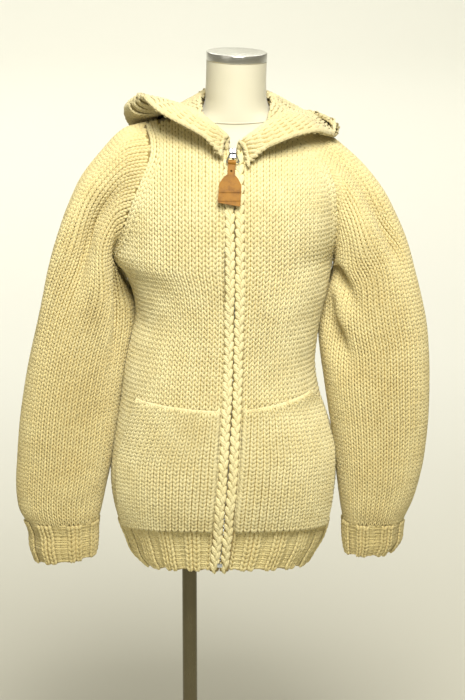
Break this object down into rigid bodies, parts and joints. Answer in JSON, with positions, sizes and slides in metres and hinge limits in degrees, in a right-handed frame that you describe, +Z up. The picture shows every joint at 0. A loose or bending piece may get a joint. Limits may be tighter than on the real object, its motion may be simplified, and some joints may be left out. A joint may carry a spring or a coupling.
{
  "type": "hooded knitted cardigan on a dress form",
  "caption": "Thick hand-knit wool zip cardigan with hood, patch pockets and leather zip pull, on a limbless white dress form with a steel stand.",
  "frame": {"origin": "centre of the underside of the stand's round base, under the pole", "axes": "+Z up, -Y out of the front where the zip is, +X towards the wearer's left"},
  "size_m": [0.6227, 0.34, 1.3113],
  "materials": {
    "wool": "thick undyed stockinette knit",
    "wool_rib": "thick two-by-two rib knit",
    "zip_metal": "polished",
    "leather": "smooth natural leather",
    "form_cover": "tight off-white jersey",
    "steel": "satin"
  },
  "bodies": {
    "root": {"front_right": "wool", "front_left": "wool", "back": "wool", "sleeve_right": "wool", "sleeve_left": "wool", "hood": "wool", "hem_front_right": "wool_rib", "hem_front_left": "wool_rib", "hem_back": "wool_rib", "cuff_right": "wool_rib", "cuff_left": "wool_rib", "pocket_right": "wool", "pocket_left": "wool", "zip_band_right": "wool", "zip_band_left": "wool", "zip_chain": "zip_metal", "zip_slider": "zip_metal", "zip_stop": "zip_metal", "form_torso": "form_cover", "neck_cap": "steel", "pole": "steel", "base": "steel"},
    "pull": {"zip_link": "zip_metal", "pull_tag": "leather"}
  },
  "joints": [
    {"name": "pull_swing", "type": "hinge", "parent": "root", "child": "pull", "pos_m": [0.06645, -0.09637, 1.17827], "axis": [-1, 0, 0], "range_deg": [0, 110]}
  ]
}
